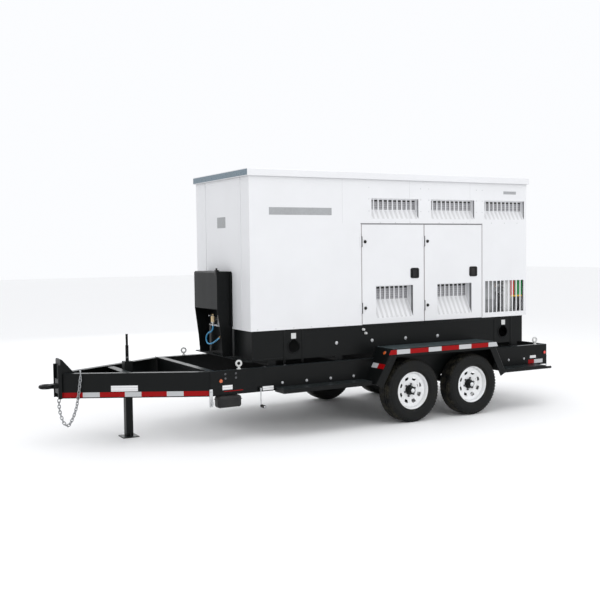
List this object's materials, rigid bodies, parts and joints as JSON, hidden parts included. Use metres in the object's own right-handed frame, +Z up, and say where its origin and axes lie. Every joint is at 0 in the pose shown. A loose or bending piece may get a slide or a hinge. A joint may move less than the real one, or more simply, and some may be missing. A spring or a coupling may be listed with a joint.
{
  "type": "towable diesel generator",
  "caption": "Sound-attenuated diesel generator set in a white enclosure on a black skid tank, carried by a tandem-axle trailer with a lunette tongue and drop-leg jack.",
  "frame": {"origin": "on the ground under the middle of the overall length and width", "axes": "+X towards the rear of the trailer, along its length; +Y towards the far side, away from the two service doors; +Z up"},
  "size_m": [6.3992, 2.1, 2.834],
  "materials": {
    "frame_black": "semi-gloss black powder coat",
    "body_white": "satin white powder coat on sheet steel",
    "tyre_rubber": "matt black rubber",
    "rim_white": "gloss white enamel",
    "zinc": "bright zinc plate",
    "latch_black": "textured black",
    "engine_grey": "painted casting",
    "alternator_grey": "painted casting",
    "radiator_black": "matt black",
    "silencer_steel": "aluminised steel",
    "panel_grey": "smooth grey enamel",
    "button_red": "moulded red",
    "hose_blue": "smooth blue hose"
  },
  "bodies": {
    "trailer": {"rail_near": "frame_black", "rail_far": "frame_black", "tongue_beam_near": "frame_black", "tongue_beam_far": "frame_black", "nose_plate": "frame_black", "lunette_eye": "frame_black", "jack_crossmember": "frame_black", "front_crossmember": "frame_black", "rear_crossmember": "frame_black", "jack_housing": "frame_black", "axle_front": "frame_black", "axle_rear": "frame_black", "fender_near": "frame_black", "fender_far": "frame_black", "side_step_near": "frame_black", "side_step_far": "frame_black", "rear_step_near": "frame_black", "rear_step_far": "frame_black", "skid_tank": "frame_black", "service_guard": "frame_black", "safety_chain": "zinc", "drain_valve": "zinc", "enclosure_shell": "body_white", "roof": "body_white", "engine": "engine_grey", "alternator": "alternator_grey", "radiator": "radiator_black", "silencer": "silencer_steel", "control_panel": "panel_grey", "lug_panel": "panel_grey", "drain_hose": "hose_blue"},
    "wheel_front_near": {"tyre_front_near": "tyre_rubber", "rim_front_near": "rim_white"},
    "wheel_front_far": {"tyre_front_far": "tyre_rubber", "rim_front_far": "rim_white"},
    "wheel_rear_near": {"tyre_rear_near": "tyre_rubber", "rim_rear_near": "rim_white"},
    "wheel_rear_far": {"tyre_rear_far": "tyre_rubber", "rim_rear_far": "rim_white"},
    "tongue_crank": {"jack_crank": "frame_black"},
    "tongue_leg": {"jack_leg": "frame_black"},
    "rear_jack_near_tube": {"rear_jack_near_tube": "frame_black"},
    "rear_jack_near_leg": {"rear_jack_near_leg": "frame_black"},
    "rear_jack_near_crank": {"rear_jack_near_crank": "zinc"},
    "rear_jack_far_tube": {"rear_jack_far_tube": "frame_black"},
    "rear_jack_far_leg": {"rear_jack_far_leg": "frame_black"},
    "rear_jack_far_crank": {"rear_jack_far_crank": "zinc"},
    "front_jack_tube": {"front_jack_tube": "frame_black"},
    "front_jack_leg": {"front_jack_leg": "frame_black"},
    "front_jack_crank": {"front_jack_crank": "zinc"},
    "door_front": {"door_front": "body_white"},
    "latch_front": {"latch_front": "latch_black"},
    "door_rear": {"door_rear": "body_white"},
    "latch_rear": {"latch_rear": "latch_black"},
    "door_far": {"door_far": "body_white"},
    "latch_far": {"latch_far": "latch_black"},
    "control_door": {"control_door": "body_white"},
    "fuel_cap": {"fuel_cap": "latch_black"},
    "stop_button": {"e_stop": "button_red"},
    "fan": {"cooling_fan": "radiator_black"}
  },
  "joints": [
    {"name": "wheel_front_near_spin", "type": "hinge", "parent": "trailer", "child": "wheel_front_near", "pos_m": [0.757, -0.925, 0.36], "axis": [0, 1, 0], "continuous": true},
    {"name": "wheel_front_far_spin", "type": "hinge", "parent": "trailer", "child": "wheel_front_far", "pos_m": [0.757, 0.925, 0.36], "axis": [0, 1, 0], "continuous": true},
    {"name": "wheel_rear_near_spin", "type": "hinge", "parent": "trailer", "child": "wheel_rear_near", "pos_m": [1.621, -0.925, 0.36], "axis": [0, 1, 0], "continuous": true},
    {"name": "wheel_rear_far_spin", "type": "hinge", "parent": "trailer", "child": "wheel_rear_far", "pos_m": [1.621, 0.925, 0.36], "axis": [0, 1, 0], "continuous": true},
    {"name": "tongue_crank_turn", "type": "hinge", "parent": "trailer", "child": "tongue_crank", "pos_m": [-2.26, 0, 0.6], "axis": [0, 0, 1], "range_deg": [0, 5669.3]},
    {"name": "tongue_leg_slide", "type": "slide", "parent": "trailer", "child": "tongue_leg", "axis": [0, 0, 1], "range_m": [0, 0.2005]},
    {"name": "rear_jack_near_swing", "type": "hinge", "parent": "trailer", "child": "rear_jack_near_tube", "pos_m": [2.95, -0.69, 0.565], "axis": [-1, 0, 0], "range_deg": [0, 90]},
    {"name": "rear_jack_near_crank_turn", "type": "hinge", "parent": "rear_jack_near_tube", "child": "rear_jack_near_crank", "pos_m": [2.95, -0.69, 0.565], "axis": [1, 0, 0], "range_deg": [0, 6094.5]},
    {"name": "rear_jack_near_leg_slide", "type": "slide", "parent": "rear_jack_near_tube", "child": "rear_jack_near_leg", "axis": [0, 1, 0], "range_m": [0, 0.2155]},
    {"name": "rear_jack_far_swing", "type": "hinge", "parent": "trailer", "child": "rear_jack_far_tube", "pos_m": [2.95, 0.69, 0.565], "axis": [1, 0, 0], "range_deg": [0, 90]},
    {"name": "rear_jack_far_crank_turn", "type": "hinge", "parent": "rear_jack_far_tube", "child": "rear_jack_far_crank", "pos_m": [2.95, 0.69, 0.565], "axis": [1, 0, 0], "range_deg": [0, 6094.5]},
    {"name": "rear_jack_far_leg_slide", "type": "slide", "parent": "rear_jack_far_tube", "child": "rear_jack_far_leg", "axis": [0, -1, 0], "range_m": [0, 0.2155]},
    {"name": "front_jack_swing", "type": "hinge", "parent": "trailer", "child": "front_jack_tube", "pos_m": [-1.09, -0.665, 0.52], "axis": [0, 1, 0], "range_deg": [0, 90]},
    {"name": "front_jack_crank_turn", "type": "hinge", "parent": "front_jack_tube", "child": "front_jack_crank", "pos_m": [-1.09, -0.665, 0.52], "axis": [0, -1, 0], "range_deg": [0, 4818.9]},
    {"name": "front_jack_leg_slide", "type": "slide", "parent": "front_jack_tube", "child": "front_jack_leg", "axis": [1, 0, 0], "range_m": [0, 0.1705]},
    {"name": "door_front_hinge", "type": "hinge", "parent": "trailer", "child": "door_front", "pos_m": [0.276, -0.713, 1.68], "axis": [0, 0, -1], "range_deg": [0, 95]},
    {"name": "latch_front_pull", "type": "hinge", "parent": "door_front", "child": "latch_front", "pos_m": [0.974, -0.712, 1.685], "axis": [0, 0, -1], "range_deg": [0, 35], "stiffness_Nm_per_rad": 1.2, "springref_deg": -5.73},
    {"name": "door_rear_hinge", "type": "hinge", "parent": "trailer", "child": "door_rear", "pos_m": [1.156, -0.713, 1.68], "axis": [0, 0, -1], "range_deg": [0, 95]},
    {"name": "latch_rear_pull", "type": "hinge", "parent": "door_rear", "child": "latch_rear", "pos_m": [1.854, -0.712, 1.685], "axis": [0, 0, -1], "range_deg": [0, 35], "stiffness_Nm_per_rad": 1.2, "springref_deg": -5.73},
    {"name": "door_far_hinge", "type": "hinge", "parent": "trailer", "child": "door_far", "pos_m": [0.276, 0.713, 1.68], "axis": [0, 0, 1], "range_deg": [0, 95]},
    {"name": "latch_far_pull", "type": "hinge", "parent": "door_far", "child": "latch_far", "pos_m": [0.974, 0.712, 1.685], "axis": [0, 0, 1], "range_deg": [0, 35], "stiffness_Nm_per_rad": 1.2, "springref_deg": -5.73},
    {"name": "control_door_hinge", "type": "hinge", "parent": "trailer", "child": "control_door", "pos_m": [2.763, 0.36, 2.05], "axis": [0, 0, 1], "range_deg": [0, 110]},
    {"name": "fuel_cap_turn", "type": "hinge", "parent": "trailer", "child": "fuel_cap", "pos_m": [1.5, -0.6, 1.15], "axis": [0, 0, 1], "range_deg": [0, 90]},
    {"name": "stop_press", "type": "slide", "parent": "trailer", "child": "stop_button", "axis": [-1, 0, 0], "range_m": [0, 0.006]},
    {"name": "fan_spin", "type": "hinge", "parent": "trailer", "child": "fan", "pos_m": [0.095, 0, 1.69], "axis": [1, 0, 0], "continuous": true}
  ],
  "couplings": [
    {"joint": "tongue_leg_slide", "follows": "tongue_crank_turn", "m_per_rad": 0.0020213},
    {"joint": "rear_jack_near_leg_slide", "follows": "rear_jack_near_crank_turn", "m_per_rad": 0.0020213},
    {"joint": "rear_jack_far_leg_slide", "follows": "rear_jack_far_crank_turn", "m_per_rad": 0.0020213},
    {"joint": "front_jack_leg_slide", "follows": "front_jack_crank_turn", "m_per_rad": 0.0020213}
  ]
}
